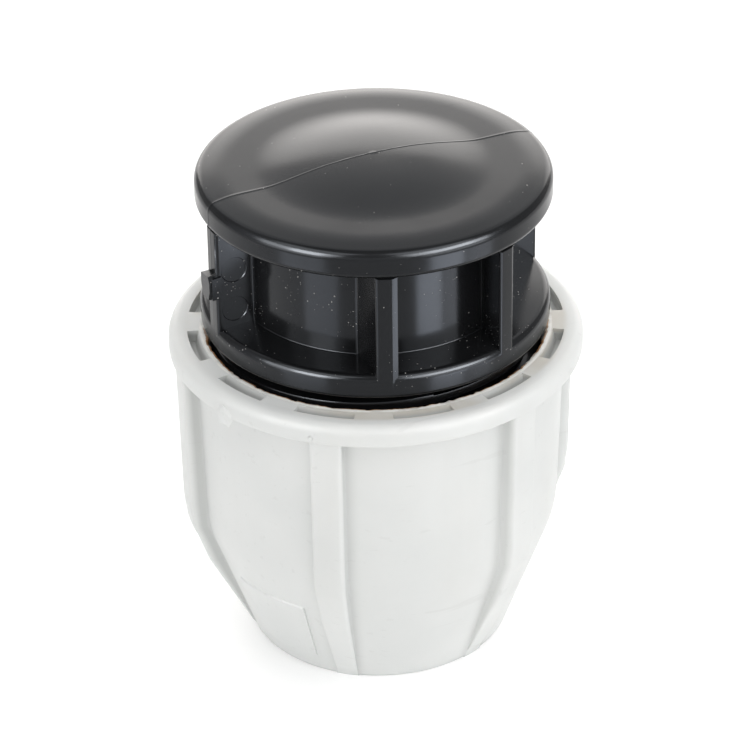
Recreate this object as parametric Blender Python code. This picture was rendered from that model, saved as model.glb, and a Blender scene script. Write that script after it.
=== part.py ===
"""End plug for plastic pipe: a black plug body screwed into a pale grey ribbed compression nut.

Between them sit the pieces that close on the pipe: a split grip ring in the nut's cone, a pressing
bush on top of it, and an O-ring that the bush pushes into the mouth of the plug's blind socket.

Metres, +Z up along the thread's axis. The origin is the centre of the nut's foot, where the pipe
goes in. -Y is the way that the front half of the plug's mould opens, so the four side ribs of its
head run along Y and the two ribs on the mould's parting plane run along X.
"""

import math

import bmesh
import bpy

MM = 0.001

# Fits shared by every piece
SEAT_GAP = 0.3 * MM
THREAD_CLEARANCE = 0.3 * MM

# The pipe that the plug closes
PIPE_DIAMETER = 32.0 * MM
PIPE_CLEARANCE = 0.35 * MM

# Grip ring: a split cone with saw teeth that bite the pipe
RING_LIFT = 2.0 * MM
RING_HEIGHT = 12.5 * MM
RING_CLEARANCE = 0.25 * MM
RING_SPLIT = 7.0 * MM
TOOTH_COUNT = 5
TOOTH_DEPTH = 0.9 * MM
TOOTH_LAND = 0.5 * MM

# Pressing bush: a flange on the grip ring, with a spigot that reaches the O-ring
BUSH_CLEARANCE = 0.6 * MM
BUSH_FLANGE_HEIGHT = 3.0 * MM
SPIGOT_HEIGHT = 8.5 * MM
BUSH_CHAMFER = 0.6 * MM

# O-ring
O_RING_SECTION = 4.5 * MM

# Plug body below its flange
SEAL_WALL = 2.2 * MM
NOSE_GAP = 2.4 * MM
NOSE_LENGTH = 3.5 * MM
NOSE_CHAMFER = 0.6 * MM
THREAD_DEPTH = 2.0 * MM
FLANGE_GAP = 2.3 * MM

# Plug head
SOCKET_WALL = 4.65 * MM
SOCKET_ROUNDING = 1.5 * MM
HEAD_RADIUS = 26.85 * MM
FLANGE_THICKNESS = 4.0 * MM
FLANGE_ROUNDING = 1.9 * MM
FLANGE_CHAMFER = 0.4 * MM
BAY_HEIGHT = 16.8 * MM
BAY_FILLET = 0.4 * MM
SIDE_RIB_OFFSET = 9.85 * MM
SIDE_RIB_THICKNESS = 3.0 * MM
PARTING_RIB_THICKNESS = 3.4 * MM
HEAD_RIB_ROUNDING = 0.7 * MM
DISC_OVERHANG = 0.35 * MM
DISC_THICKNESS = 4.6 * MM
DISC_ROUNDING = 1.9 * MM
DISC_FALL = 0.35 * MM
DISC_FALL_WIDTH = 5.0 * MM
CROWN_RADIUS = 18.0 * MM
CROWN_RISE = 1.9 * MM
CROWN_THICKNESS = 5.0 * MM

# Nut, outside
NUT_HEIGHT = 52.9 * MM
NUT_WALL = 3.4 * MM
NUT_TAPER = 0.85 * MM
SHOULDER_HEIGHT = 21.6 * MM
SHOULDER_BLEND = 2.6 * MM
BEAD_HEIGHT = 3.5 * MM
BEAD_OVERHANG = 2.95 * MM
BEAD_ROUNDING = 1.5 * MM
BEAD_FILLET = 0.6 * MM
FOOT_WALL = 4.2 * MM
FOOT_ROUNDING = 0.3 * MM

# Nut, inside
ENTRY_CLEARANCE = 0.6 * MM
ENTRY_LENGTH = 4.0 * MM
ENTRY_CHAMFER = 1.0 * MM
CONE_STEP = 2.0 * MM
CONE_ANGLE = math.radians(13.4)
CONE_OVERRUN = 0.7 * MM
LIP_FLARE = 0.65 * MM
LIP_DEPTH = 0.8 * MM

# Pockets round the nut's top face
POCKET_COUNT = 12
POCKET_SWEEP = math.radians(18.4)
POCKET_TURN = math.radians(-1.4)
POCKET_WIDTH = 1.6 * MM
POCKET_INSET = 2.9 * MM
POCKET_DEPTH = 1.3 * MM

# Grip ribs down the nut
NUT_RIB_COUNT = 6
NUT_RIB_SWEEP = math.radians(9.2)
NUT_RIB_RISE = 2.3 * MM
NUT_RIB_BELLY = 0.3 * MM
NUT_RIB_KINK_HEIGHT = 15.1 * MM
NUT_RIB_FOOT_HEIGHT = 2.4 * MM
NUT_RIB_FOOT_RISE = 0.4 * MM
NUT_RIB_ROOT = 1.0 * MM
NUT_TURN = math.radians(21)

# Fineness of the round shapes
TURN_STEPS = 64
INNER_STEPS = 48
ARC_STEPS = 3
SECTION_STEPS = 10
SMOOTH_ANGLE = math.radians(32)

# Radii that follow from the pipe, the seal and the thread, from the inside outwards
SOCKET_RADIUS = PIPE_DIAMETER / 2 + PIPE_CLEARANCE
CORE_RADIUS = SOCKET_RADIUS + SOCKET_WALL
O_RING_RADIUS = SOCKET_RADIUS + O_RING_SECTION / 2
SEAL_POCKET_RADIUS = SOCKET_RADIUS + O_RING_SECTION + SEAT_GAP
NOSE_RADIUS = SEAL_POCKET_RADIUS + SEAL_WALL
THREAD_RADIUS = NOSE_RADIUS + THREAD_DEPTH
NUT_BORE_RADIUS = THREAD_RADIUS + THREAD_CLEARANCE
WALL_RADIUS = NUT_BORE_RADIUS + NUT_WALL
SHOULDER_RADIUS = WALL_RADIUS - NUT_TAPER
BEAD_RADIUS = WALL_RADIUS + BEAD_OVERHANG
ENTRY_RADIUS = PIPE_DIAMETER / 2 + ENTRY_CLEARANCE
FOOT_RADIUS = ENTRY_RADIUS + FOOT_WALL
DISC_RADIUS = HEAD_RADIUS + DISC_OVERHANG

# Heights of the stack, from the nut's foot upwards
RING_Z = ENTRY_LENGTH + RING_LIFT
BUSH_Z = RING_Z + RING_HEIGHT + SEAT_GAP
CONE_TOP_Z = BUSH_Z + CONE_OVERRUN
MOUTH_Z = BUSH_Z + BUSH_FLANGE_HEIGHT + NOSE_GAP
O_RING_Z = BUSH_Z + BUSH_FLANGE_HEIGHT + SPIGOT_HEIGHT + SEAT_GAP + O_RING_SECTION / 2
SEAL_SEAT_Z = O_RING_Z + O_RING_SECTION / 2 + SEAT_GAP
FLANGE_Z = NUT_HEIGHT + FLANGE_GAP
BAY_FLOOR_Z = FLANGE_Z + FLANGE_THICKNESS
DISC_Z = BAY_FLOOR_Z + BAY_HEIGHT
DISC_TOP_Z = DISC_Z + DISC_THICKNESS
SOCKET_END_Z = DISC_TOP_Z - CROWN_THICKNESS


def cone_radius(z):
    """Radius of the nut's inside cone, which the grip ring wedges into, at height z."""
    return ENTRY_RADIUS + CONE_STEP + (z - ENTRY_LENGTH) * math.tan(CONE_ANGLE)


def wall_radius(z):
    """Radius of the nut's outside at height z: a cone up to the shoulder, then the nearly straight wall."""
    if z < SHOULDER_HEIGHT:
        return FOOT_RADIUS + (SHOULDER_RADIUS - FOOT_RADIUS) * z / SHOULDER_HEIGHT
    share = (z - SHOULDER_HEIGHT) / (NUT_HEIGHT - BEAD_HEIGHT - SHOULDER_HEIGHT)
    return SHOULDER_RADIUS + NUT_TAPER * share


def arc(centre, radius, start, end, steps=ARC_STEPS):
    """Points of an arc in a profile, angles in degrees from the outward direction towards +Z."""
    points = []
    for step in range(steps + 1):
        angle = math.radians(start + (end - start) * step / steps)
        points.append((centre[0] + radius * math.cos(angle), centre[1] + radius * math.sin(angle)))
    return points


def bend(before, corner, after, steps=ARC_STEPS):
    """Points that round a profile's corner off from one point to another."""
    points = []
    for step in range(steps + 1):
        t = step / steps
        weights = ((1 - t) ** 2, 2 * t * (1 - t), t**2)
        points.append(
            tuple(sum(w * p[axis] for w, p in zip(weights, (before, corner, after))) for axis in (0, 1))
        )
    return points


def lathe(profile, steps, start=0.0, sweep=math.tau):
    """Turn a profile of (radius, z) points, listed from the top down the outside, into a closed bmesh.

    A full turn joins up with itself. A shorter sweep gets an end cap at each side. A profile that
    starts and ends on the axis closes there, and any other closes from its last point to its first.
    """
    mesh = bmesh.new()
    full = math.isclose(sweep, math.tau)
    on_axis = profile[0][0] == 0.0
    columns = []
    poles = {}
    if on_axis:
        poles = {index: mesh.verts.new((0, 0, profile[index][1])) for index in (0, len(profile) - 1)}
    for step in range(steps if full else steps + 1):
        angle = start + sweep * step / steps
        column = []
        for index, (radius, z) in enumerate(profile):
            pole = poles.get(index)
            column.append(pole or mesh.verts.new((radius * math.cos(angle), radius * math.sin(angle), z)))
        columns.append(column)
    rows = len(profile) - 1 if on_axis else len(profile)
    for step in range(steps):
        left = columns[step]
        right = columns[(step + 1) % len(columns)]
        for row in range(rows):
            below = (row + 1) % len(profile)
            corners = []
            for vert in (left[row], left[below], right[below], right[row]):
                if vert not in corners:
                    corners.append(vert)
            mesh.faces.new(corners)
    if not full:
        mesh.faces.new(columns[0][::-1])
        mesh.faces.new(columns[-1])
    bmesh.ops.recalc_face_normals(mesh, faces=mesh.faces)
    return mesh


def prism(outline, low, high):
    """A closed prism that stands on an outline of (x, y) points, from one height to another."""
    mesh = bmesh.new()
    rings = [[mesh.verts.new((x, y, z)) for x, y in outline] for z in (low, high)]
    for ring in rings:
        mesh.faces.new(ring)
    for index, vert in enumerate(rings[0]):
        mesh.faces.new((rings[0][index - 1], vert, rings[1][index], rings[1][index - 1]))
    bmesh.ops.recalc_face_normals(mesh, faces=mesh.faces)
    return mesh


def add_object(name, mesh):
    """Put a bmesh into the scene as a named object at the origin."""
    data = bpy.data.meshes.new(name)
    mesh.to_mesh(data)
    mesh.free()
    obj = bpy.data.objects.new(name, data)
    bpy.context.scene.collection.objects.link(obj)
    return obj


def add_tool(name, mesh):
    """An object that only cuts or joins: it is left out of renders and drawn as wire."""
    tool = add_object(name, mesh)
    tool.hide_render = True
    tool.display_type = "WIRE"
    return tool


def combine(obj, tool, operation):
    """Cut a tool from an object, or join it on."""
    modifier = obj.modifiers.new(f"{operation.lower()} {tool.name}", "BOOLEAN")
    modifier.object = tool
    modifier.operation = operation
    modifier.solver = "EXACT"


def finish(obj, colour, roughness, height=0.0, parent=None):
    """Bake the Booleans, smooth the round faces, give the piece its plastic and put it at its height."""
    graph = bpy.context.evaluated_depsgraph_get()
    baked = bpy.data.meshes.new_from_object(obj.evaluated_get(graph))
    obj.modifiers.clear()
    obj.data = baked
    obj.data.name = obj.name
    obj.data.shade_smooth()
    obj.data.set_sharp_from_angle(angle=SMOOTH_ANGLE)
    material = bpy.data.materials.new(obj.name)
    material.use_nodes = True
    shader = material.node_tree.nodes["Principled BSDF"]
    shader.inputs["Base Color"].default_value = (*colour, 1.0)
    shader.inputs["Roughness"].default_value = roughness
    shader.inputs["Metallic"].default_value = 0.0
    obj.data.materials.clear()
    obj.data.materials.append(material)
    obj.location.z = height
    if parent:
        obj.parent = parent
        obj.location.z = height - parent.location.z
    return obj


def nut_profile():
    """The nut's section: rounded bead, tapered wall, bent shoulder and cone, then back up the inside."""
    bead_foot = NUT_HEIGHT - BEAD_HEIGHT
    rounding = (BEAD_RADIUS - BEAD_ROUNDING, NUT_HEIGHT - BEAD_ROUNDING)
    low = SHOULDER_HEIGHT - SHOULDER_BLEND
    high = SHOULDER_HEIGHT + SHOULDER_BLEND
    return [
        *arc(rounding, BEAD_ROUNDING, 90, 0, steps=4),
        (BEAD_RADIUS, bead_foot + BEAD_FILLET),
        (BEAD_RADIUS - BEAD_FILLET, bead_foot),
        (wall_radius(bead_foot - BEAD_FILLET) + BEAD_FILLET, bead_foot),
        (wall_radius(bead_foot - BEAD_FILLET), bead_foot - BEAD_FILLET),
        *bend(
            (wall_radius(high), high),
            (SHOULDER_RADIUS, SHOULDER_HEIGHT),
            (wall_radius(low), low),
            steps=4,
        ),
        (wall_radius(FOOT_ROUNDING), FOOT_ROUNDING),
        (FOOT_RADIUS - FOOT_ROUNDING, 0),
        (ENTRY_RADIUS + ENTRY_CHAMFER, 0),
        (ENTRY_RADIUS, ENTRY_CHAMFER),
        (ENTRY_RADIUS, ENTRY_LENGTH),
        (cone_radius(ENTRY_LENGTH), ENTRY_LENGTH),
        (cone_radius(CONE_TOP_Z), CONE_TOP_Z),
        (NUT_BORE_RADIUS, MOUTH_Z),
        (NUT_BORE_RADIUS, NUT_HEIGHT - LIP_DEPTH),
        (NUT_BORE_RADIUS + LIP_FLARE, NUT_HEIGHT),
    ]


def nut_rib_profile():
    """The section of a grip rib: it follows the wall, kinks on the cone and thins out at the foot."""
    top = NUT_HEIGHT - BEAD_HEIGHT
    low = SHOULDER_HEIGHT - SHOULDER_BLEND
    high = SHOULDER_HEIGHT + SHOULDER_BLEND
    outside = [
        (wall_radius(top) + NUT_RIB_RISE - NUT_RIB_BELLY / 2, top + NUT_RIB_ROOT),
        *bend(
            (wall_radius(high) + NUT_RIB_RISE + NUT_RIB_BELLY, high),
            (SHOULDER_RADIUS + NUT_RIB_RISE + NUT_RIB_BELLY, SHOULDER_HEIGHT),
            (wall_radius(low) + NUT_RIB_RISE, low),
            steps=4,
        ),
        (wall_radius(NUT_RIB_KINK_HEIGHT) + NUT_RIB_RISE, NUT_RIB_KINK_HEIGHT),
        (wall_radius(NUT_RIB_FOOT_HEIGHT) + NUT_RIB_FOOT_RISE, NUT_RIB_FOOT_HEIGHT),
    ]
    root = [
        (wall_radius(NUT_RIB_FOOT_HEIGHT) - NUT_RIB_ROOT, NUT_RIB_FOOT_HEIGHT),
        (wall_radius(low) - NUT_RIB_ROOT, low),
        (wall_radius(high) - NUT_RIB_ROOT, high),
        (wall_radius(top) - NUT_RIB_ROOT, top + NUT_RIB_ROOT),
    ]
    return outside + root


def build_nut():
    """Pale grey nut: a turned shell, six ribs joined on and twelve pockets cut in its top face."""
    nut = add_object("nut", lathe(nut_profile(), TURN_STEPS))
    front = NUT_TURN - math.pi / 2
    for index in range(NUT_RIB_COUNT):
        start = front + math.tau * index / NUT_RIB_COUNT - NUT_RIB_SWEEP / 2
        rib = lathe(nut_rib_profile(), 2, start, NUT_RIB_SWEEP)
        combine(nut, add_tool(f"nut_rib_{index + 1}", rib), "UNION")
    outer = BEAD_RADIUS - POCKET_INSET
    section = [
        (outer, NUT_HEIGHT + POCKET_DEPTH),
        (outer, NUT_HEIGHT - POCKET_DEPTH),
        (outer - POCKET_WIDTH, NUT_HEIGHT - POCKET_DEPTH),
        (outer - POCKET_WIDTH, NUT_HEIGHT + POCKET_DEPTH),
    ]
    for index in range(POCKET_COUNT):
        start = front + POCKET_TURN + math.tau * index / POCKET_COUNT - POCKET_SWEEP / 2
        pocket = lathe(section, 4, start, POCKET_SWEEP)
        combine(nut, add_tool(f"nut_pocket_{index + 1}", pocket), "DIFFERENCE")
    return finish(nut, colour=(0.66, 0.67, 0.64), roughness=0.42)


def plug_profile():
    """The plug's section, from the crown down the outside, round the mouth and up the blind socket."""
    crown = []
    for step in range(7):
        share = step / 6
        rise = CROWN_RISE * (1 - share**2) ** 2 * (1 + share**2)
        crown.append((CROWN_RADIUS * share, DISC_TOP_Z + rise))
    fall = (DISC_RADIUS - DISC_FALL_WIDTH, DISC_TOP_Z)
    rounding = (DISC_RADIUS - DISC_ROUNDING, DISC_TOP_Z - DISC_FALL - DISC_ROUNDING)
    nose_top = MOUTH_Z + NOSE_LENGTH
    socket_corner = (SOCKET_RADIUS - SOCKET_ROUNDING, SOCKET_END_Z - SOCKET_ROUNDING)
    profile = [
        *crown,
        fall,
        *arc(rounding, DISC_ROUNDING, 82, 0, steps=5),
        (DISC_RADIUS, DISC_Z + DISC_OVERHANG),
        (HEAD_RADIUS, DISC_Z),
        (HEAD_RADIUS, FLANGE_Z + FLANGE_CHAMFER),
        (HEAD_RADIUS - FLANGE_CHAMFER, FLANGE_Z),
        (THREAD_RADIUS, FLANGE_Z),
        (THREAD_RADIUS, nose_top + THREAD_DEPTH),
        (NOSE_RADIUS, nose_top),
        (NOSE_RADIUS, MOUTH_Z + NOSE_CHAMFER),
        (NOSE_RADIUS - NOSE_CHAMFER, MOUTH_Z),
        (SEAL_POCKET_RADIUS + NOSE_CHAMFER, MOUTH_Z),
        (SEAL_POCKET_RADIUS, MOUTH_Z + NOSE_CHAMFER),
        (SEAL_POCKET_RADIUS, SEAL_SEAT_Z),
        (SOCKET_RADIUS, SEAL_SEAT_Z),
        *arc(socket_corner, SOCKET_ROUNDING, 0, 90, steps=2),
        (0.0, SOCKET_END_Z),
    ]
    return [(radius, z - MOUTH_Z) for radius, z in profile]


def bay_section():
    """The section of the ring cut out round the head: core at the inside, rounded flange edge below."""
    outer = DISC_RADIUS + FLANGE_ROUNDING
    edge = (HEAD_RADIUS - FLANGE_ROUNDING, BAY_FLOOR_Z - FLANGE_ROUNDING)
    section = [
        (outer, DISC_Z + DISC_OVERHANG / 4),
        (CORE_RADIUS, DISC_Z + DISC_OVERHANG / 4),
        (CORE_RADIUS, BAY_FLOOR_Z + BAY_FILLET),
        (CORE_RADIUS + BAY_FILLET, BAY_FLOOR_Z),
        *arc(edge, FLANGE_ROUNDING, 90, 0),
        (outer, BAY_FLOOR_Z - FLANGE_ROUNDING),
    ]
    return [(radius, z - MOUTH_Z) for radius, z in section]


def head_rib_outline(near, far):
    """Outline of a bar right through the head, rounded off where its sides come to the head's outside."""
    reach = 2 * HEAD_RADIUS
    end = []
    for side, inward in ((near, HEAD_RIB_ROUNDING), (far, -HEAD_RIB_ROUNDING)):
        surface = math.sqrt(HEAD_RADIUS**2 - side**2)
        inner = side + inward
        before = (side, surface - HEAD_RIB_ROUNDING)
        after = (inner, math.sqrt(HEAD_RADIUS**2 - inner**2))
        corner = [*bend(before, (side, surface), after), (inner, reach)]
        end += corner if inward > 0 else corner[::-1]
    return end + [(x, -y) for x, y in reversed(end)]


def build_plug():
    """Black plug: a turned body, with a ring cut from its head except where the six ribs stand."""
    pivot = bpy.data.objects.new("plug_turn_axis", None)
    pivot.location.z = MOUTH_Z
    bpy.context.scene.collection.objects.link(pivot)
    plug = add_object("plug_body", lathe(plug_profile(), TURN_STEPS))
    bays = add_tool("head_bays", lathe(bay_section(), TURN_STEPS))
    low = FLANGE_Z - MOUTH_Z
    high = DISC_TOP_Z - MOUTH_Z
    across = head_rib_outline(-PARTING_RIB_THICKNESS / 2, PARTING_RIB_THICKNESS / 2)
    turned = [(y, -x) for x, y in across]
    combine(bays, add_tool("parting_ribs", prism(turned, low, high)), "DIFFERENCE")
    for side, name in ((-1, "left_ribs"), (1, "right_ribs")):
        near = side * SIDE_RIB_OFFSET - SIDE_RIB_THICKNESS / 2
        outline = head_rib_outline(near, near + SIDE_RIB_THICKNESS)
        combine(bays, add_tool(name, prism(outline, low, high)), "DIFFERENCE")
    combine(plug, bays, "DIFFERENCE")
    return finish(plug, colour=(0.018, 0.019, 0.021), roughness=0.28, height=MOUTH_Z, parent=pivot)


def build_grip_ring():
    """Split grip ring: a cone outside, saw teeth inside that face the pipe's way out."""
    tip = PIPE_DIAMETER / 2 + RING_CLEARANCE
    root = tip + TOOTH_DEPTH
    pitch = RING_HEIGHT / TOOTH_COUNT
    slack = SEAT_GAP / math.cos(CONE_ANGLE)
    profile = [
        (cone_radius(RING_Z + RING_HEIGHT) - slack, RING_HEIGHT),
        (cone_radius(RING_Z) - slack, 0),
    ]
    for tooth in range(TOOTH_COUNT):
        foot = tooth * pitch
        profile.append((root, foot))
        profile.append((tip, foot + pitch - TOOTH_LAND))
        profile.append((tip, foot + pitch))
    half_split = math.asin(RING_SPLIT / 2 / root)
    mesh = lathe(profile, INNER_STEPS, half_split - math.pi / 2, math.tau - 2 * half_split)
    ring = add_object("grip_ring", mesh)
    return finish(ring, colour=(0.72, 0.71, 0.67), roughness=0.4, height=RING_Z)


def build_seal(parent):
    """Pressing bush and O-ring, which stay together in the plug's mouth."""
    bore = PIPE_DIAMETER / 2 + BUSH_CLEARANCE
    flange = cone_radius(BUSH_Z) - SEAT_GAP
    spigot = SEAL_POCKET_RADIUS - SEAT_GAP
    top = BUSH_FLANGE_HEIGHT + SPIGOT_HEIGHT
    profile = [
        (spigot, top),
        (spigot, BUSH_FLANGE_HEIGHT),
        (flange, BUSH_FLANGE_HEIGHT),
        (flange, 0),
        (bore + BUSH_CHAMFER, 0),
        (bore, BUSH_CHAMFER),
        (bore, top),
    ]
    bush = add_object("pressing_bush", lathe(profile, INNER_STEPS))
    finish(bush, colour=(0.022, 0.023, 0.025), roughness=0.35, height=BUSH_Z, parent=parent)
    circle = arc((O_RING_RADIUS, 0), O_RING_SECTION / 2, 90, -270, steps=SECTION_STEPS)
    seal = add_object("o_ring", lathe(circle[:-1], INNER_STEPS))
    finish(seal, colour=(0.012, 0.012, 0.012), roughness=0.6, height=O_RING_Z, parent=parent)


def clear_scene():
    """Remove everything that a new file starts with."""
    for obj in list(bpy.data.objects):
        bpy.data.objects.remove(obj, do_unlink=True)


def remove_tools():
    """Take the cutting and joining tools away once every piece is baked."""
    for obj in list(bpy.data.objects):
        if obj.type == "MESH" and obj.hide_render:
            bpy.data.objects.remove(obj, do_unlink=True)


clear_scene()
build_nut()
build_grip_ring()
seal_travel = bpy.data.objects.new("seal_travel_axis", None)
seal_travel.location.z = BUSH_Z
bpy.context.scene.collection.objects.link(seal_travel)
build_seal(seal_travel)
build_plug()
remove_tools()
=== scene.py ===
import math

import bmesh
import bpy
from mathutils import Matrix, Vector, noise


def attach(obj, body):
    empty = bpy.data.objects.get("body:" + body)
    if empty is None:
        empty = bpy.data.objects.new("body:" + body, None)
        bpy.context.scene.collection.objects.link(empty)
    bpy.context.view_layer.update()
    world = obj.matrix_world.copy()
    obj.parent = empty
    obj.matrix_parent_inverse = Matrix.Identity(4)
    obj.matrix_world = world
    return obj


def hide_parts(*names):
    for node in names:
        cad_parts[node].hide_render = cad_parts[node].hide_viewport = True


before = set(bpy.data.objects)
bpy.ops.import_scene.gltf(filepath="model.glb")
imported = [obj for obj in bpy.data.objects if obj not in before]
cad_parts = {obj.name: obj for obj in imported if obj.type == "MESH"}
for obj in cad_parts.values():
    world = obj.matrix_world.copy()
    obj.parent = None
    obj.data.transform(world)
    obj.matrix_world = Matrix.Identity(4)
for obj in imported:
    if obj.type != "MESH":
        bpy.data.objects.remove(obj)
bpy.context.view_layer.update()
scene = bpy.context.scene
scene.view_settings.view_transform = "Standard"


# The view. The fitting stands upright, a little turned, and is seen from about 0.6 m away and well
# above. The camera's place comes from the ellipses of the cap, the bead and the foot.
MM = 0.001
VIEW_TURN = math.radians(-24.5)
VIEW_RISE = math.radians(31.3993)
VIEW_ROLL = math.radians(0.7945)
VIEW_DISTANCE = 597.31 * MM
VIEW_AIM = Vector((0, 0, 38.4 * MM))

back = Vector(
    (
        math.sin(VIEW_TURN) * math.cos(VIEW_RISE),
        -math.cos(VIEW_TURN) * math.cos(VIEW_RISE),
        math.sin(VIEW_RISE),
    )
)
right = Vector((math.cos(VIEW_TURN), math.sin(VIEW_TURN), 0))
up = back.cross(right)
rolled_right = right * math.cos(VIEW_ROLL) - up * math.sin(VIEW_ROLL)
rolled_up = right * math.sin(VIEW_ROLL) + up * math.cos(VIEW_ROLL)
lens = bpy.data.cameras.new("view")
lens.sensor_width = 36
lens.lens = 183.59
lens.shift_x = -0.0023
lens.shift_y = 0.0330
lens.clip_start = 0.01
lens.clip_end = 20
camera = bpy.data.objects.new("view", lens)
scene.collection.objects.link(camera)
placed = Matrix((rolled_right, rolled_up, back)).transposed().to_4x4()
placed.translation = VIEW_AIM + back * VIEW_DISTANCE
camera.matrix_world = placed
scene.camera = camera


# The studio. A plain pale floor, a bright wall behind, and plain softboxes to the sides and above, as
# for a product on white, lit from below. Cards close by, seen only as a shine, give the black core its panels.
def softbox(name, turn, rise, distance, width, height, glow, tint=(1, 1, 1), aim=VIEW_AIM):
    """A rectangular light that faces the fitting. Turn is round from the view, glow its brightness."""
    light = bpy.data.lights.new(name, "AREA")
    light.shape = "RECTANGLE"
    light.size = width
    light.size_y = height
    light.energy = glow * math.pi * width * height
    light.color = tint
    box = bpy.data.objects.new(name, light)
    scene.collection.objects.link(box)
    turned_to = VIEW_TURN + math.radians(turn)
    raised = math.radians(rise)
    away = Vector(
        (
            math.sin(turned_to) * math.cos(raised),
            -math.cos(turned_to) * math.cos(raised),
            math.sin(raised),
        )
    )
    box.matrix_world = Matrix.Translation(aim + away * distance) @ away.to_track_quat("Z", "Y").to_matrix().to_4x4()
    box.visible_camera = False
    return box


sky = bpy.data.worlds.new("studio")
sky.use_nodes = True
sky.node_tree.nodes["Background"].inputs["Color"].default_value = (1.0, 0.99, 0.98, 1.0)
sky.node_tree.nodes["Background"].inputs["Strength"].default_value = 0.50
scene.world = sky

WARM = (1.0, 0.965, 0.93)
COOL = (0.88, 0.92, 1.0)
softbox("back_wall", 178, 14.8, 1.1, 1.4, 0.585, 3.0, WARM)
softbox("top_box", 180, 53, 1.2, 1.8, 0.95, 0.88)
softbox("left_box", -84, 20, 0.9, 0.5, 0.8, 0.35, COOL)
softbox("right_box", 66, 16, 0.9, 0.4, 0.8, 0.65, COOL)
for name, turn, rise, glow in (("front_fill", 24, 58, 1.2), ("top_fill", 0, 86, 0.50)):
    fill = softbox(name, turn, rise, 1.2, 1.6, 1.0, glow)
    fill.visible_glossy = False
STRIPS = (("left_strip", -50, 28, 0.85, 0.46, 11), ("left_core", -43, 28, 0.34, 0.48, 21))
STRIPS += (("right_strip", 48, 31, 0.90, 0.46, 16), ("right_core", 50, 33, 0.50, 0.40, 13))
STRIPS += (("left_glow", -50, 56, 0.7, 0.40, 4.0), ("right_glow", 48, 56, 0.7, 0.40, 5.2))
STRIPS += (("left_low", -50, 5, 0.75, 0.34, 5.0), ("right_low", 50, 5, 0.75, 0.34, 5.5), ("front_low", 0, 14, 0.9, 0.45, 0.8))
for name, turn, rise, width, height, glow in STRIPS:
    strip = softbox(name, turn, rise, 1.0, width, height, glow)
    strip.visible_diffuse = False
CARDS = (
    ("left_far", -80, 0.093, 0.15),
    ("left_near", -42, 0.056, 2.3),
    ("right_near", 42, 0.042, 7.0),
    ("right_far", 63, 0.034, 2.6),
)
for name, turn, width, glow in CARDS:
    card = softbox(name, turn, 0, 0.115, width, 0.045, glow, COOL, Vector((0, 0, 23 * MM)))
    card.visible_diffuse = False

paper = bpy.data.materials.new("white_paper")
paper.use_nodes = True
paper_shader = paper.node_tree.nodes["Principled BSDF"]
paper_shader.inputs["Base Color"].default_value = (0.93, 0.93, 0.93, 1.0)
paper_shader.inputs["Roughness"].default_value = 0.9
paper_shader.inputs["Specular IOR Level"].default_value = 0.1
paper_shader.inputs["Emission Color"].default_value = (1.0, 1.0, 1.0, 1.0)
paper_shader.inputs["Emission Strength"].default_value = 0.12
sheet = bmesh.new()
bmesh.ops.create_grid(sheet, x_segments=1, y_segments=1, size=6.0)
floor_mesh = bpy.data.meshes.new("floor")
sheet.to_mesh(floor_mesh)
sheet.free()
floor = bpy.data.objects.new("floor", floor_mesh)
scene.collection.objects.link(floor)
floor_mesh.materials.append(paper)


# Compression nut: pale grey polypropylene, moulded in one shot. A turned shell with a thick rounded
# bead, a wall that bends in to a cone and a blunt foot, and six grip ribs that grow out of the wall.
WALL_RADIUS = 29.05
NUT_HEIGHT = 52.9
BEAD_FOOT = 49.4
SHOULDER_Z = 21.6
SHOULDER_RADIUS = 28.2
FOOT_RADIUS = 20.35
BORE_RADIUS = 25.65
ENTRY_RADIUS = 16.6
RIB_TURN = math.radians(-69)
COLUMNS = 600
RIB_SPREAD = (0, 1.3, 2.6, 3.4, 3.7, 3.95, 4.15, 4.3, 4.4, 4.46, 4.5, 4.54, 4.58, 4.66, 4.8, 5.0, 5.3)
RIB_SECTION = (1, 1, 1, 1, 0.99, 0.967, 0.933, 0.894, 0.854, 0.817, 0.75, 0.45, 0.17, 0.09, 0.035, 0.008, 0)
RIB_HEIGHTS = ((0, 0), (1.5, 0), (2.3, 0.35), (8, 1.2), (15.1, 2.3), (19.8, 2.2), (23.2, 2.45), (25.6, 2.7), (44, 2.45), (49.4, 2.4))


def rounded(centre, radius, start, end, steps):
    """Points of an arc in a profile, in degrees from outwards towards up."""
    turns = [math.radians(start + (end - start) * step / steps) for step in range(steps + 1)]
    return [(centre[0] + radius * math.cos(turn), centre[1] + radius * math.sin(turn)) for turn in turns]


def eased(before, corner, after, steps):
    """Points that round a profile's corner off between two points."""
    points = []
    for step in range(steps + 1):
        t = step / steps
        shares = ((1 - t) ** 2, 2 * t * (1 - t), t * t)
        points.append(tuple(sum(s * p[i] for s, p in zip(shares, (before, corner, after))) for i in (0, 1)))
    return points


def read_off(table, at):
    """Value of a table of (place, value) pairs, straight between its places."""
    for (low, first), (high, second) in zip(table, table[1:]):
        if at <= high:
            return first + (second - first) * max(0, at - low) / (high - low)
    return table[-1][1]


def nut_wall(z):
    """Radius of the nut's wall between its ribs."""
    if z < SHOULDER_Z:
        return FOOT_RADIUS + (SHOULDER_RADIUS - FOOT_RADIUS) * z / SHOULDER_Z
    return SHOULDER_RADIUS + (WALL_RADIUS - SHOULDER_RADIUS) * (z - SHOULDER_Z) / (BEAD_FOOT - SHOULDER_Z)


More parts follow.
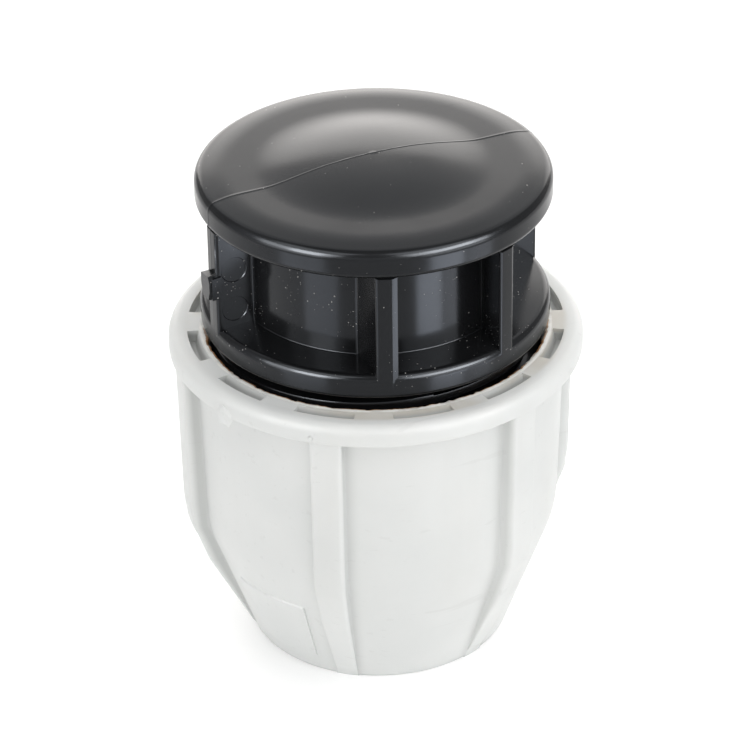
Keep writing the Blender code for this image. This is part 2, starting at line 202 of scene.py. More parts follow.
def turned(outline, steps, closed=False, sweep=math.tau, start=0.0):
    """Spin an outline in millimetres round the thread's axis. Only a full turn meets itself."""
    form = bmesh.new()
    first = Matrix.Rotation(start, 3, "Z")
    points = [form.verts.new(first @ Vector((r * MM, 0, z * MM))) for r, z in outline]
    pairs = list(zip(points, points[1:]))
    if closed:
        pairs.append((points[-1], points[0]))
    edges = [form.edges.new(pair) for pair in pairs]
    full = math.isclose(sweep, math.tau)
    bmesh.ops.spin(
        form, geom=points + edges, cent=(0, 0, 0), axis=(0, 0, 1), angle=sweep, steps=steps, use_merge=full
    )
    if not full:
        bmesh.ops.holes_fill(form, edges=[edge for edge in form.edges if edge.is_boundary])
    bmesh.ops.remove_doubles(form, verts=form.verts, dist=0.0005 * MM)
    bmesh.ops.recalc_face_normals(form, faces=form.faces)
    return form


def made(name, form):
    """Put a finished bmesh into the scene under its name."""
    mesh = bpy.data.meshes.new(name)
    form.to_mesh(mesh)
    form.free()
    piece = bpy.data.objects.new(name, mesh)
    scene.collection.objects.link(piece)
    return piece


def worked(piece, form, operation):
    """Cut a shape from a piece, or weld it on."""
    tool = made("tool", form)
    step = piece.modifiers.new(operation, "BOOLEAN")
    step.object = tool
    step.operation = operation
    step.solver = "EXACT"
    graph = bpy.context.evaluated_depsgraph_get()
    shaped = bpy.data.meshes.new_from_object(piece.evaluated_get(graph))
    piece.modifiers.clear()
    piece.data = shaped
    shaped.name = piece.name
    bpy.data.objects.remove(tool)


def smoothed(piece, degrees=32):
    """Shade the round faces smooth and keep the moulded edges crisp, whatever cuts run beside them."""
    piece.data.shade_smooth()
    piece.data.set_sharp_from_angle(angle=math.radians(degrees))
    evened = piece.modifiers.new("evened", "WEIGHTED_NORMAL")
    evened.keep_sharp = True
    evened.weight = 80
    graph = bpy.context.evaluated_depsgraph_get()
    shaped = bpy.data.meshes.new_from_object(piece.evaluated_get(graph))
    piece.modifiers.clear()
    piece.data = shaped
    shaped.name = piece.name


def turn_of(point):
    return math.atan2(point.y, point.x)


def nut_shell():
    """The nut's skin. The spun columns are spread so that each rib has its own round shoulders."""
    low = SHOULDER_Z - 2.6
    high = SHOULDER_Z + 2.6
    rows = [
        (29.75, 52.87),
        *rounded((30.35, 51.25), 1.65, 84, 0, 9),
        (32.0, 50.7),
        *eased((32.0, 50.1), (32.0, BEAD_FOOT), (31.3, BEAD_FOOT), 3),
        (30.5, BEAD_FOOT),
        *eased((29.8, BEAD_FOOT), (29.04, BEAD_FOOT), (29.02, 48.6), 4),
    ]
    rows += [(nut_wall(z), z) for z in (46.5, 43.5, 40, 36, 32, 28.5, 26)]
    rows += eased((nut_wall(high), high), (SHOULDER_RADIUS, SHOULDER_Z), (nut_wall(low), low), 7)
    rows += [(nut_wall(z), z) for z in (17.4, 16.2, 15.1, 14, 12, 9.5, 7, 5, 3.6, 2.9, 2.5, 2.2, 1.8, 1.2, 0.6)]
    rows += rounded((FOOT_RADIUS - 0.35, 0.35), 0.35, 0, -90, 3)
    rows += [(ENTRY_RADIUS + 1.2, 0), (ENTRY_RADIUS + 1.0, 0.06), (ENTRY_RADIUS, 1.0), (ENTRY_RADIUS, 4.0)]
    rows += [(18.6, 4.0), (22.29, 19.5), (BORE_RADIUS, 24.2), (BORE_RADIUS, 50.6), (25.8, 51.3), (26.05, 51.9)]
    rows += [(26.16, 52.4), (26.24, 52.66), (26.42, 52.8), (26.75, 52.84), (27.2, 52.78), (27.7, 52.74), (28.6, 52.72)]
    rows += [(29.2, 52.78)]
    form = turned(rows, COLUMNS, closed=True)
    per_rib = COLUMNS // 6
    half = per_rib // 2
    rest = half - len(RIB_SPREAD) + 1
    side = [*RIB_SPREAD, *(5.3 + (30 - 5.3) * step / rest for step in range(1, rest + 1))]
    shares = [*RIB_SECTION, *(0 for _ in range(rest))]
    lip_edge = form.verts.layers.float.new("lip_edge")
    painted_rib_shade = form.verts.layers.float.new("painted_rib_shade")
    for vert in form.verts:
        column = round(turn_of(vert.co) / math.tau * COLUMNS) % COLUMNS
        inside = column % per_rib
        place, sign = (inside, 1) if inside <= half else (per_rib - inside, -1)
        turn = RIB_TURN + math.tau * (column // per_rib) / 6 + math.radians(sign * side[place])
        if inside > half:
            turn += math.tau / 6
        radius = math.hypot(vert.co.x, vert.co.y)
        z = vert.co.z / MM
        outside = radius > (nut_wall(z) - 0.45) * MM and z <= BEAD_FOOT + 0.001
        if outside and shares[place]:
            radius = max(radius, (nut_wall(z) + read_off(RIB_HEIGHTS, z) * shares[place]) * MM)
        # Painted shade: a weight at each rib's foot, stronger on its right side, that the grey material darkens as the
        # shade in that corner.
        if outside and side[place] > 4.5:
            vert[painted_rib_shade] = max(0, 1 - (side[place] - 4.8) / 4.6) ** 2 * (1 if sign > 0 else 0.5)
        if 52.2 < z and radius < 27.0 * MM:
            vert[lip_edge] = min(1, max(0, 1 - (radius / MM - 26.42) / 0.33))
            chip = noise.noise(Vector((math.cos(turn) * 14, math.sin(turn) * 14, 3.1)))
            fine = noise.noise(Vector((math.cos(turn) * 40, math.sin(turn) * 40, 7.7)))
            edge = min(1, (27.0 * MM - radius) / (0.6 * MM))
            radius += (0.20 * chip + 0.28 * fine) * edge * MM
            vert.co.z += min(0.04, 0.26 * chip - 0.16 * abs(fine)) * edge * MM
        vert.co.x = radius * math.cos(turn)
        vert.co.y = radius * math.sin(turn)
    bmesh.ops.remove_doubles(form, verts=form.verts, dist=0.002 * MM)
    bmesh.ops.recalc_face_normals(form, faces=form.faces)
    return form


nut = made("compression_nut", nut_shell())

# Twelve shallow pockets in the nut's top face keep the bead from being thick, with a web between them.
# They are cored by the mould, so their walls lean a little and their mouths are softened.
POCKET_SWEEP = math.radians(18.4)
POCKET_TURN = RIB_TURN - math.radians(1.4)

for pocket in range(12):
    section = [(29.10, 53.3), (29.08, 52.0), (29.0, 50.95), (28.9, 50.8)]
    section += [(27.95, 50.8), (27.85, 50.9), (27.62, 51.9), (27.36, 52.62), (27.24, 53.3)]
    start = POCKET_TURN + math.tau * pocket / 12 - POCKET_SWEEP / 2
    worked(nut, turned(section, 26, closed=True, sweep=POCKET_SWEEP, start=start), "DIFFERENCE")


# Coarse right-hand thread, 6 mm to a turn and 2 mm deep: a blunt ridge inside the nut and one outside
# the plug, each sitting in the other's groove. The ridges fade out at both ends, as moulded ones do.
PITCH = 6.0
THREAD_STEPS = 120


def thread_ridge(root, crest, first_turn, first_z, turns, fade=0.25):
    """A helical ridge from its root radius to its crest radius, as a closed solid."""
    buried = root - 0.35 if crest > root else root + 0.35
    section = [
        (buried, -1.75),
        (root, -1.6),
        (root + (crest - root) * 0.82, -0.90),
        (root + (crest - root) * 0.93, -0.78),
        (crest, -0.50),
        (crest, 0.50),
        (root + (crest - root) * 0.93, 0.78),
        (root + (crest - root) * 0.82, 0.90),
        (root, 1.6),
        (buried, 1.75),
    ]
    form = bmesh.new()
    first = Matrix.Rotation(first_turn, 3, "Z")
    points = [form.verts.new(first @ Vector((r * MM, 0, (first_z + z) * MM))) for r, z in section]
    edges = [form.edges.new((points[index - 1], points[index])) for index in range(len(points))]
    steps = round(turns * THREAD_STEPS)
    bmesh.ops.spin(
        form,
        geom=points + edges,
        cent=(0, 0, 0),
        axis=(0, 0, 1),
        angle=math.tau * turns,
        dvec=(0, 0, PITCH * MM / THREAD_STEPS),
        steps=steps,
    )
    form.verts.ensure_lookup_table()
    fade_steps = fade * THREAD_STEPS
    for index, vert in enumerate(form.verts):
        step = index // len(section)
        grown = min(1, step / fade_steps, (steps - step) / fade_steps)
        if grown < 1:
            radius = math.hypot(vert.co.x, vert.co.y)
            sunk = buried * MM + (radius - buried * MM) * grown
            if abs(sunk - buried * MM) < 0.02 * MM:
                sunk = (buried + 0.02 * (1 if crest > root else -1)) * MM if radius != buried * MM else sunk
            vert.co.x *= sunk / radius
            vert.co.y *= sunk / radius
    bmesh.ops.holes_fill(form, edges=[edge for edge in form.edges if edge.is_boundary])
    bmesh.ops.recalc_face_normals(form, faces=form.faces)
    return form


CREST_TURN = math.radians(-176.1)
CREST_Z = 51.5
worked(nut, thread_ridge(BORE_RADIUS, 23.65, CREST_TURN, CREST_Z - 4.5 * PITCH, 3.9), "UNION")

# A blank plate stands a little proud of the cone between two ribs.
PLATE_START = math.radians(-171.0)
PLATE_SWEEP = math.radians(29.6)
PLATE_LIFT = 0.26

plate = [(nut_wall(z) - 0.5, z) for z in (15.2, 3.4)] + [(nut_wall(3.4), 3.4)]
plate += [(nut_wall(z) + PLATE_LIFT, z) for z in (3.9, 8.0, 12.0, 14.9)] + [(nut_wall(15.2), 15.2)]
worked(nut, turned(plate, 40, closed=True, sweep=PLATE_SWEEP, start=PLATE_START), "UNION")

# Where the nut was gated, a lumpy scar is left on the bead, and a small nick was knocked in it later.
SCAR_TURN = math.radians(-160.4)
NICK_TURN = math.radians(-132.5)

scar = bmesh.new()
bmesh.ops.create_icosphere(scar, subdivisions=4, radius=1.0 * MM)
for vert in scar.verts:
    lump = noise.noise(vert.co * 1400) * 0.34 + noise.noise(vert.co * 3300) * 0.14
    vert.co *= 1 + lump
    vert.co = Vector((vert.co.x * 0.64, vert.co.y * 1.5, vert.co.z * 1.85))
scar.transform(Matrix.Rotation(SCAR_TURN, 4, "Z") @ Matrix.Translation((31.75 * MM, 0, 49.75 * MM)))
worked(nut, scar, "UNION")
nick = bmesh.new()
bmesh.ops.create_icosphere(nick, subdivisions=3, radius=0.5 * MM)
nick.transform(Matrix.Rotation(NICK_TURN, 4, "Z") @ Matrix.Translation((32.2 * MM, 0, 50.5 * MM)))
worked(nut, nick, "DIFFERENCE")
smoothed(nut)


def effect(name, inputs, output):
    """Start a shader effect with number inputs and one mask output."""
    group = bpy.data.node_groups.new(name, "ShaderNodeTree")
    for label, value in inputs.items():
        socket = group.interface.new_socket(label, in_out="INPUT", socket_type="NodeSocketFloat")
        socket.default_value = value
    group.interface.new_socket(output, in_out="OUTPUT", socket_type="NodeSocketFloat")
    return group, group.nodes.new("NodeGroupInput"), group.nodes.new("NodeGroupOutput")


def sum_node(tree, operation, first, second=None, clamp=False):
    """A maths node. Its inputs are numbers or other nodes' outputs."""
    node = tree.nodes.new("ShaderNodeMath")
    node.operation = operation
    node.use_clamp = clamp
    for index, value in enumerate((first, second)):
        if value is None:
            continue
        if isinstance(value, (int, float)):
            node.inputs[index].default_value = value
        else:
            tree.links.new(value, node.inputs[index])
    return node.outputs[0]


def spread(tree, value, low, high, to_low=0.0, to_high=1.0):
    """Stretch a range of values to another, softly at both ends."""
    node = tree.nodes.new("ShaderNodeMapRange")
    node.interpolation_type = "SMOOTHSTEP"
    tree.links.new(value, node.inputs["Value"])
    for label, number in (("From Min", low), ("From Max", high), ("To Min", to_low), ("To Max", to_high)):
        node.inputs[label].default_value = number
    return node.outputs["Result"]


scuff, scuff_in, scuff_out = effect("fine_scratches", {"Scale": 60, "Amount": 0.5}, "Mask")
place = scuff.nodes.new("ShaderNodeTexCoord")
total = None
for turn, stretch in ((0.35, 24), (1.9, 30)):
    aligned = scuff.nodes.new("ShaderNodeMapping")
    aligned.inputs["Rotation"].default_value = (turn * 0.7, turn, turn * 1.7)
    aligned.inputs["Scale"].default_value = (1, stretch, stretch * 0.8)
    scuff.links.new(place.outputs["Object"], aligned.inputs["Vector"])
    streak = scuff.nodes.new("ShaderNodeTexNoise")
    streak.inputs["Detail"].default_value = 3
    scuff.links.new(scuff_in.outputs["Scale"], streak.inputs["Scale"])
    scuff.links.new(aligned.outputs["Vector"], streak.inputs["Vector"])
    line = spread(scuff, streak.outputs["Fac"], 0.66, 0.72)
    total = line if total is None else sum_node(scuff, "MAXIMUM", total, line)
scuff.links.new(sum_node(scuff, "MULTIPLY", total, scuff_in.outputs["Amount"]), scuff_out.inputs["Mask"])


def placed_effect(tree, group, **values):
    """Put an effect in a material with its own values."""
    node = tree.nodes.new("ShaderNodeGroup")
    node.node_tree = group
    for label, value in values.items():
        node.inputs[label].default_value = value
    return node.outputs[0]


def clouds(tree, scale, detail=4.0, squeeze=(1, 1, 1)):
    """Soft noise on the piece's own coordinates."""
    where = tree.nodes.new("ShaderNodeTexCoord")
    aligned = tree.nodes.new("ShaderNodeMapping")
    aligned.inputs["Scale"].default_value = squeeze
    tree.links.new(where.outputs["Object"], aligned.inputs["Vector"])
    node = tree.nodes.new("ShaderNodeTexNoise")
    node.inputs["Scale"].default_value = scale
    node.inputs["Detail"].default_value = detail
    tree.links.new(aligned.outputs["Vector"], node.inputs["Vector"])
    return node.outputs["Fac"]


def tinted(tree, mask, first, second):
    """Mix two colours, or outputs, by a mask."""
    node = tree.nodes.new("ShaderNodeMix")
    node.data_type = "RGBA"
    tree.links.new(mask, node.inputs["Factor"])
    for label, value in (("A", first), ("B", second)):
        socket = [item for item in node.inputs if item.name == label and item.type == "RGBA"][0]
        if isinstance(value, tuple):
            socket.default_value = (*value, 1.0)
        else:
            tree.links.new(value, socket)
    return [item for item in node.outputs if item.type == "RGBA"][0]


def plastic(name):
    material = bpy.data.materials.new(name)
    material.use_nodes = True
    return material, material.node_tree, material.node_tree.nodes["Principled BSDF"]


def bumped(tree, shader, height, strength, distance):
    node = tree.nodes.new("ShaderNodeBump")
    node.inputs["Strength"].default_value = strength
    node.inputs["Distance"].default_value = distance
    tree.links.new(height, node.inputs["Height"])
    tree.links.new(node.outputs["Normal"], shader.inputs["Normal"])


# Grey plastic: pale, slightly warm and a little see-through at its edges. Handling has left faint grey
# smears, brown dirt has caught along the ragged inner lip, and the webs beside it are a little stained.
grey, tree, shader = plastic("grey_polypropylene")
mottle = spread(tree, clouds(tree, 42, 5), 0.32, 0.70)
drawn = spread(tree, clouds(tree, 120, 4, (1, 1, 0.12)), 0.45, 0.80)
shade = tinted(tree, mottle, (0.708, 0.722, 0.711), (0.752, 0.762, 0.749))
shade = tinted(tree, sum_node(tree, "MULTIPLY", drawn, 0.18), shade, (0.62, 0.62, 0.59))
smears = sum_node(tree, "MULTIPLY", placed_effect(tree, scuff, Scale=30, Amount=0.5), 0.25)
shade = tinted(tree, smears, shade, (0.50, 0.50, 0.48))
where = tree.nodes.new("ShaderNodeTexCoord")
axes = tree.nodes.new("ShaderNodeSeparateXYZ")
tree.links.new(where.outputs["Object"], axes.inputs["Vector"])
flat = sum_node(tree, "ADD", sum_node(tree, "MULTIPLY", axes.outputs["X"], axes.outputs["X"]), sum_node(tree, "MULTIPLY", axes.outputs["Y"], axes.outputs["Y"]))
radius = sum_node(tree, "SQRT", flat)
on_top = spread(tree, axes.outputs["Z"], 51.9 * MM, 52.3 * MM)
stained = sum_node(tree, "MULTIPLY", spread(tree, radius, 29.9 * MM, 28.7 * MM), on_top)
stained = sum_node(tree, "MULTIPLY", stained, spread(tree, clouds(tree, 42, 5), 0.46, 0.62, 0.0, 0.46))
shade = tinted(tree, stained, shade, (0.50, 0.44, 0.34))
# Painted shade: the pocket walls and floors are painted darker with depth, where shade falls in the recess.
in_pocket = sum_node(tree, "MULTIPLY", spread(tree, radius, 29.25 * MM, 29.08 * MM), spread(tree, radius, 27.1 * MM, 27.3 * MM))
deep = sum_node(tree, "MULTIPLY", spread(tree, axes.outputs["Z"], 52.6 * MM, 51.75 * MM), spread(tree, axes.outputs["Z"], 50.4 * MM, 50.6 * MM))
shade = tinted(tree, sum_node(tree, "MULTIPLY", sum_node(tree, "MULTIPLY", in_pocket, deep), 0.62), shade, (0.335, 0.34, 0.33))
pale = sum_node(tree, "MULTIPLY", spread(tree, radius, 27.3 * MM, 27.0 * MM), on_top)
pale = sum_node(tree, "MULTIPLY", pale, spread(tree, clouds(tree, 330, 4), 0.34, 0.52, 0.2, 1.0))
shade = tinted(tree, pale, shade, (0.92, 0.91, 0.87))
at_lip = tree.nodes.new("ShaderNodeAttribute")
at_lip.attribute_name = "lip_edge"
dirt = spread(tree, at_lip.outputs["Fac"], 0.30, 0.62)
dirt = sum_node(tree, "MULTIPLY", dirt, spread(tree, radius, 26.98 * MM, 26.86 * MM))
dirt = sum_node(tree, "MULTIPLY", dirt, spread(tree, clouds(tree, 210, 5), 0.30, 0.48))
shade = tinted(tree, dirt, shade, (0.40, 0.21, 0.09))
# Painted shade: the feet of the ribs and the wall just under the bead are painted darker, where shade falls in the
# corners.
at_rib_shade = tree.nodes.new("ShaderNodeAttribute")
at_rib_shade.attribute_name = "painted_rib_shade"
under_bead_shade = sum_node(tree, "MULTIPLY", spread(tree, axes.outputs["Z"], 48.0 * MM, 49.3 * MM), spread(tree, radius, 30.3 * MM, 29.8 * MM))
under_bead_shade = sum_node(tree, "MULTIPLY", under_bead_shade, spread(tree, axes.outputs["Z"], 49.8 * MM, 49.5 * MM))
painted_corner_shade = sum_node(tree, "MAXIMUM", at_rib_shade.outputs["Fac"], sum_node(tree, "MULTIPLY", under_bead_shade, 0.6))
shade = tinted(tree, sum_node(tree, "MULTIPLY", painted_corner_shade, 0.42), shade, (0.40, 0.41, 0.40))
tree.links.new(shade, shader.inputs["Base Color"])
finish = spread(tree, clouds(tree, 210, 6), 0.3, 0.8, 0.44, 0.58)
tree.links.new(finish, shader.inputs["Roughness"])
grain = sum_node(tree, "ADD", sum_node(tree, "MULTIPLY", clouds(tree, 420, 4), 0.6), sum_node(tree, "MULTIPLY", clouds(tree, 90, 3), 0.8))
bumped(tree, shader, grain, 0.14, 0.10 * MM)
shader.inputs["Specular IOR Level"].default_value = 0.22
shader.inputs["Subsurface Weight"].default_value = 0.12
shader.inputs["Subsurface Radius"].default_value = (1.0, 0.95, 0.9)
shader.inputs["Subsurface Scale"].default_value = 1.2 * MM
nut.data.materials.clear()
nut.data.materials.append(grey)
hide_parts("nut")
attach(nut, "nut")


# Plug body: black polypropylene. A domed cap disc on a core with six ribs, a rounded flange to seat
# against, and a hollow threaded stem. The head is one solid, with the open bays cut out round its core.
HEAD_RADIUS = 26.85
CAP_RADIUS = 27.1
CAP_ROUND = 1.6
CAP_UNDER = 75.2
CAP_EDGE = 1.0
CAP_TOP = 80.1
CORE_RADIUS = 21.0
FLANGE_UNDER = 54.7
FLANGE_TOP = 58.72
FLANGE_ROUND = 1.25
BAY_FLOOR = 59.15
MOUTH_Z = 24.2
STEM_RADIUS = 23.35
SOCKET_RADIUS = 16.35
SOCKET_END = 75.6
HEAD_COLUMNS = 256


def cap_height(radius):
    """Height of the cap's face: a low crown in the middle, then level, then a slight fall to the rim."""
    share = radius / 18.0
    crown = 1.83 * (1 - share**2) ** 2 * (1 + share**2) if share < 1 else 0
    fall = 0.35 * (max(0, radius - 22.2) / 3.1) ** 2
    return CAP_TOP + crown - fall


def rib_bar(near, far, near_soft=0.5, far_soft=0.5, land=0.0):
    """Outline of a bar right through the head, with soft feet at the core. A land is a flat outer corner."""
    foot = 0.4
    half = []
    for side, way, soft in ((near, -1, near_soft), (far, 1, far_soft)):
        if way > 0 and land:
            inner = side - land
            level = math.sqrt(HEAD_RADIUS**2 - inner**2)
            edge = [(side, level - 0.14), (side - 0.04, level - 0.04), (side - 0.14, level), (inner, level)]
        else:
            surface = math.sqrt(HEAD_RADIUS**2 - side**2)
            inner = side - way * soft
            edge = eased((side, surface - soft), (side, surface), (inner, math.sqrt(HEAD_RADIUS**2 - inner**2)), 5)
        core = math.sqrt(CORE_RADIUS**2 - side**2)
        along = math.atan2(side, core) + way * foot / CORE_RADIUS
        on_core = (CORE_RADIUS * math.sin(along), CORE_RADIUS * math.cos(along))
        flare = eased(on_core, (side, core), (side, core + foot), 4)
        run = [(on_core[0] * 0.96, on_core[1] * 0.96), *flare, *edge, (inner, 40)]
        half += run if way < 0 else run[::-1]
    return half + [(x, -y) for x, y in reversed(half)]


def upright(outline, low, high):
    """A bar that stands on an outline of (x, y) points in millimetres."""
    form = bmesh.new()
    ring = form.faces.new([form.verts.new((x * MM, y * MM, low * MM)) for x, y in outline])
    grown = bmesh.ops.extrude_face_region(form, geom=[ring], use_keep_orig=True)
    raised = [item for item in grown["geom"] if isinstance(item, bmesh.types.BMVert)]
    bmesh.ops.translate(form, verts=raised, vec=(0, 0, (high - low) * MM))
    bmesh.ops.recalc_face_normals(form, faces=form.faces)
    return form


def plug_outline():
    """The plug's section, from the crown down the outside and up the blind socket."""
    rows = [(radius, cap_height(radius)) for radius in [0.001 * 0] + [0.8 * step for step in range(1, 32)]]
    rim = rounded((CAP_RADIUS - CAP_ROUND, 78.1), CAP_ROUND, 84, 0, 12)
    rows = [row for row in rows if row[0] < rim[0][0] - 0.3] + rim
    rows += rounded((CAP_RADIUS - CAP_EDGE, CAP_UNDER + CAP_EDGE), CAP_EDGE, 0, -60, 9)
    rows += [(HEAD_RADIUS - 0.35, CAP_UNDER + 0.1), (HEAD_RADIUS, CAP_UNDER - 0.1)]
    rows += rounded((HEAD_RADIUS - 0.8, FLANGE_UNDER + 0.8), 0.8, 0, -90, 7)
    rows += [(STEM_RADIUS + 0.5, FLANGE_UNDER), (STEM_RADIUS, FLANGE_UNDER - 0.4)]
    rows += [(STEM_RADIUS, MOUTH_Z + 0.6), (STEM_RADIUS - 0.6, MOUTH_Z), (21.75, MOUTH_Z), (21.15, MOUTH_Z + 0.6)]
    rows += [(21.15, 35.4), (SOCKET_RADIUS, 35.4)]
    rows += rounded((SOCKET_RADIUS - 1.5, SOCKET_END - 1.5), 1.5, 0, 90, 5)
    rows += [(0, SOCKET_END)]
    return rows


def bay_ring():
    """The ring that the six bays come out of: core inside, flange with its round edge below."""
    under = CAP_UNDER + 0.09
    section = [(29.5, under), (CORE_RADIUS + 0.25, under), (CORE_RADIUS + 0.07, under - 0.07), (CORE_RADIUS, under - 0.25)]
    section += eased((CORE_RADIUS, BAY_FLOOR + 0.17), (CORE_RADIUS, BAY_FLOOR), (CORE_RADIUS + 0.17, BAY_FLOOR - 0.02), 3)
    section += rounded((HEAD_RADIUS - FLANGE_ROUND, FLANGE_TOP - FLANGE_ROUND), FLANGE_ROUND, 85, 0, 12)
    section += [(29.5, FLANGE_TOP - FLANGE_ROUND)]
    return made("bays", turned(section, HEAD_COLUMNS, closed=True))


def parting_seam(form):
    """The mould's two halves meet across the cap and down both end ribs in a fine raised line."""
    for offset in (-0.20, -0.09, 0, 0.09, 0.20):
        bmesh.ops.bisect_plane(
            form,
            geom=[*form.verts, *form.edges, *form.faces],
            plane_co=(0, offset * MM, 0),
            plane_no=(0, 1, 0),
            dist=0.0002 * MM,
        )
    form.normal_update()
    moves = {}
    for vert in form.verts:
        radius = math.hypot(vert.co.x, vert.co.y) / MM
        if vert.co.z > 76.5 * MM or (radius > 26 and vert.co.z > 56 * MM):
            across = abs(vert.co.y) / MM
            lift = 0.045 * max(0, 1 - across / 0.15) + (0.02 if vert.co.y > 0.08 * MM else 0)
            if lift:
                moves[vert] = vert.normal * lift * MM
    for vert, move in moves.items():
        vert.co += move


body_form = turned(plug_outline(), HEAD_COLUMNS)
parting_seam(body_form)
plug = made("plug", body_form)
bays = bay_ring()
end_ribs = [(y, -x) for x, y in rib_bar(-1.7, 1.7)]
for bar in (end_ribs, rib_bar(-11.05, -7.9, land=0.95), rib_bar(8.75, 11.5)):
    worked(bays, upright(bar, 50, 79), "DIFFERENCE")
bay_form = bmesh.new()
bay_form.from_mesh(bays.data)
bpy.data.objects.remove(bays)
worked(plug, bay_form, "DIFFERENCE")
worked(plug, thread_ridge(STEM_RADIUS, 25.35, CREST_TURN, CREST_Z - 4 * PITCH, 4.55, fade=0.12), "UNION")

# Under the flange the thread's groove runs out into a plain collar. The plug was gated at the left end
# rib, where a torn stub is left, and two ejector pins have left round marks on the face of that rib.
VIEW_FACING = math.radians(-90) + VIEW_TURN

COLLAR_START = VIEW_FACING + math.radians(8)

collar = turned(
    [(22.9, 50.8), (25.28, 50.8), (25.28, 54.78), (25.23, 54.9), (25.1, 55.0), (22.9, 55.0)],
    69,
    closed=True,
    sweep=math.radians(69),
    start=COLLAR_START,
)
for vert in collar.verts:
    if vert.co.z > 54 * MM:
        along = math.degrees((turn_of(vert.co) - COLLAR_START) % math.tau) % 359
        vert.co.z -= max(0, 1.9 - 0.0167 * along - 0.0031 * along**2) * MM
worked(plug, collar, "UNION")

for height in (68.5, 61.85):
    pin = bmesh.new()
    bmesh.ops.create_cone(
        pin, cap_ends=True, segments=72, radius1=1.99 * MM, radius2=2.17 * MM, depth=0.22 * MM,
        matrix=Matrix.Translation((-23.95 * MM, -1.7 * MM, height * MM)) @ Matrix.Rotation(math.pi / 2, 4, "X"),
    )
    worked(plug, pin, "DIFFERENCE")


def chipped(centre, size, cuts, seed):
    """A block with flat broken faces where bits have come away."""
    form = bmesh.new()
    bmesh.ops.create_cube(form, size=1.0, matrix=Matrix.Diagonal((*(side * MM for side in size), 1)))
    for cut in range(cuts):
        way = noise.noise_vector(Vector((seed + cut * 3.7, 1.3 * cut, 8.1))).normalized()
        reach = sum(abs(part) * side / 2 for part, side in zip(way, size)) * 0.80
        bmesh.ops.bisect_plane(
            form, geom=[*form.verts, *form.edges, *form.faces], plane_co=way * reach * MM, plane_no=way, clear_outer=True
        )
        bmesh.ops.holes_fill(form, edges=[edge for edge in form.edges if edge.is_boundary])
    bmesh.ops.translate(form, verts=form.verts, vec=Vector(centre) * MM)
    bmesh.ops.recalc_face_normals(form, faces=form.faces)
    return form


worked(plug, chipped((-26.85, -0.1, 66.1), (2.3, 3.2, 4.2), 9, 2.0), "UNION")
worked(plug, chipped((-26.85, -1.65, 66.15), (1.6, 0.55, 4.0), 4, 9.0), "UNION")
smoothed(plug)

dust, dust_in, dust_out = effect("dust_specks", {"Scale": 1200, "Amount": 0.1, "Size": 0.12}, "Mask")
place = dust.nodes.new("ShaderNodeTexCoord")
cells = dust.nodes.new("ShaderNodeTexVoronoi")
dust.links.new(place.outputs["Object"], cells.inputs["Vector"])
dust.links.new(dust_in.outputs["Scale"], cells.inputs["Scale"])
parts = dust.nodes.new("ShaderNodeSeparateColor")
dust.links.new(cells.outputs["Color"], parts.inputs["Color"])
patchy = dust.nodes.new("ShaderNodeTexNoise")
patchy.inputs["Scale"].default_value = 110
dust.links.new(place.outputs["Object"], patchy.inputs["Vector"])
amount = sum_node(dust, "MULTIPLY", dust_in.outputs["Amount"], spread(dust, patchy.outputs["Fac"], 0.40, 0.66, 0.1, 2.6))
chosen = sum_node(dust, "LESS_THAN", parts.outputs["Red"], amount)
large = sum_node(dust, "POWER", parts.outputs["Green"], 4.0)
reach = sum_node(dust, "MULTIPLY", dust_in.outputs["Size"], sum_node(dust, "ADD", large, 0.5))
near = sum_node(dust, "LESS_THAN", cells.outputs["Distance"], reach)
faint = sum_node(dust, "ADD", sum_node(dust, "MULTIPLY", parts.outputs["Blue"], 0.8), 0.2)
dust.links.new(sum_node(dust, "MULTIPLY", sum_node(dust, "MULTIPLY", chosen, near), faint), dust_out.inputs["Mask"])

# Black plastic: glossy but not a mirror. It has the mould's faint ripple, a greyer bloom in patches,
# hairline scratches and pale dust, which has settled in the bays far more than on the wiped cap.
black, tree, shader = plastic("black_polypropylene")
bloom = spread(tree, clouds(tree, 55), 0.40, 0.72)
where = tree.nodes.new("ShaderNodeTexCoord")
axes = tree.nodes.new("ShaderNodeSeparateXYZ")
tree.links.new(where.outputs["Object"], axes.inputs["Vector"])
in_bays = sum_node(tree, "MULTIPLY", spread(tree, axes.outputs["Z"], 76.2 * MM, 75.8 * MM), spread(tree, axes.outputs["Z"], 56 * MM, 58 * MM))
specks = sum_node(tree, "MULTIPLY", placed_effect(tree, dust, Scale=3100, Amount=0.065, Size=0.25), in_bays)
stray = placed_effect(tree, dust, Scale=2600, Amount=0.009, Size=0.22)
specks = sum_node(tree, "MAXIMUM", specks, stray)
lines = placed_effect(tree, scuff, Scale=45, Amount=0.35)
shade = tinted(tree, bloom, (0.0068, 0.0070, 0.0076), (0.0092, 0.0096, 0.0104))
shade = tinted(tree, specks, shade, (0.42, 0.41, 0.39))
tree.links.new(shade, shader.inputs["Base Color"])
sheen = spread(tree, clouds(tree, 75, 3), 0.3, 0.75, 0.155, 0.215)
sheen = sum_node(tree, "ADD", sheen, sum_node(tree, "MULTIPLY", lines, 0.16))
sheen = sum_node(tree, "ADD", sheen, sum_node(tree, "MULTIPLY", specks, 0.5), clamp=True)
tree.links.new(sheen, shader.inputs["Roughness"])
ripple = sum_node(tree, "ADD", sum_node(tree, "MULTIPLY", clouds(tree, 170, 2), 0.7), sum_node(tree, "MULTIPLY", specks, 0.5))
bumped(tree, shader, ripple, 0.05, 0.10 * MM)
shader.inputs["Specular IOR Level"].default_value = 0.22
# Painted reflection colour: the reflections are tinted bluish to stand in for the cool light around the fitting.
shader.inputs["Specular Tint"].default_value = (0.88, 0.93, 1.0, 1.0)
plug.data.materials.clear()
plug.data.materials.append(black)
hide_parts("plug_body")
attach(plug, "plug")


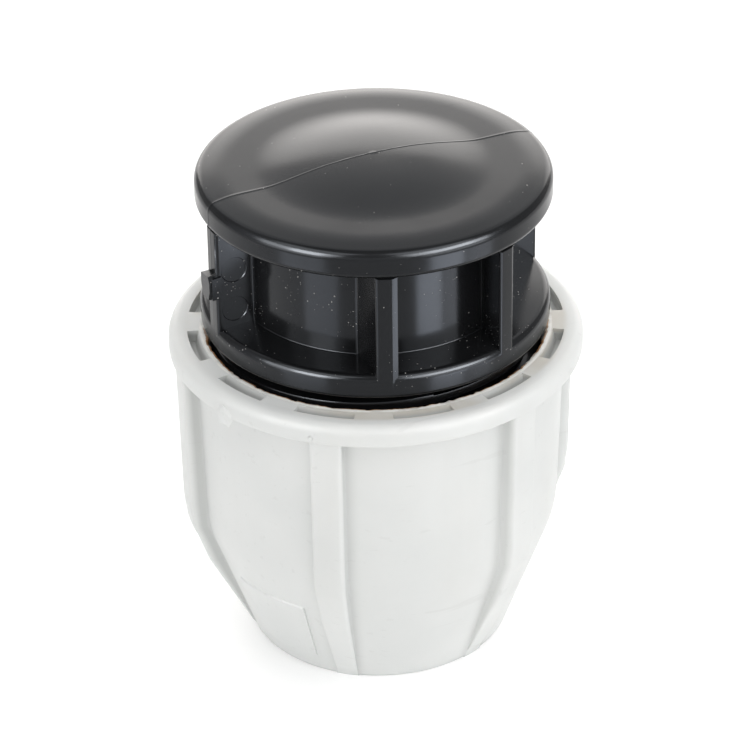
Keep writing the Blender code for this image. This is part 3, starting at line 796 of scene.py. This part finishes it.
# Grip ring: off-white acetal, moulded as a split ring with rows of teeth inside that hold the pipe. It is
# slid in loose behind the nut's cone, and the cone closes it as the nut is tightened.
acetal, tree, shader = plastic("white_acetal")
mottle = spread(tree, clouds(tree, 60, 4), 0.32, 0.70)
shade = tinted(tree, mottle, (0.72, 0.70, 0.63), (0.80, 0.78, 0.71))
smears = sum_node(tree, "MULTIPLY", placed_effect(tree, scuff, Scale=40, Amount=0.5), 0.3)
tree.links.new(tinted(tree, smears, shade, (0.52, 0.50, 0.45)), shader.inputs["Base Color"])
tree.links.new(spread(tree, clouds(tree, 240, 5), 0.3, 0.8, 0.28, 0.42), shader.inputs["Roughness"])
bumped(tree, shader, clouds(tree, 300, 4), 0.12, 0.08 * MM)
shader.inputs["Subsurface Weight"].default_value = 0.15
shader.inputs["Subsurface Scale"].default_value = 1.0 * MM
bpy.data.objects["grip_ring"].material_slots[0].material = acetal


# Pressing bush: black polypropylene, a plain collar that the grip ring pushes on to squeeze the seal. It
# is duller than the plug, since its mould is only bead-blasted, and its rubbed faces are greyer.
bush_black, tree, shader = plastic("dull_black_polypropylene")
rubbed = spread(tree, clouds(tree, 130, 4), 0.48, 0.72)
tree.links.new(tinted(tree, rubbed, (0.012, 0.012, 0.013), (0.030, 0.030, 0.031)), shader.inputs["Base Color"])
tree.links.new(spread(tree, clouds(tree, 260, 5), 0.3, 0.8, 0.38, 0.55), shader.inputs["Roughness"])
bumped(tree, shader, clouds(tree, 1500, 3), 0.25, 0.05 * MM)
bpy.data.objects["pressing_bush"].material_slots[0].material = bush_black


# Seal: a black nitrile ring, moulded and lightly greased. It lies in front of the plug's socket and is
# pressed against the pipe. Its skin is matt, with a fine grain and a soft sheen where the grease is.
rubber, tree, shader = plastic("black_nitrile")
greased = spread(tree, clouds(tree, 150, 3), 0.40, 0.66)
tree.links.new(tinted(tree, greased, (0.020, 0.020, 0.020), (0.012, 0.012, 0.013)), shader.inputs["Base Color"])
tree.links.new(spread(tree, clouds(tree, 150, 3), 0.40, 0.66, 0.62, 0.30), shader.inputs["Roughness"])
bumped(tree, shader, clouds(tree, 2200, 3), 0.30, 0.04 * MM)
bpy.data.objects["o_ring"].material_slots[0].material = rubber
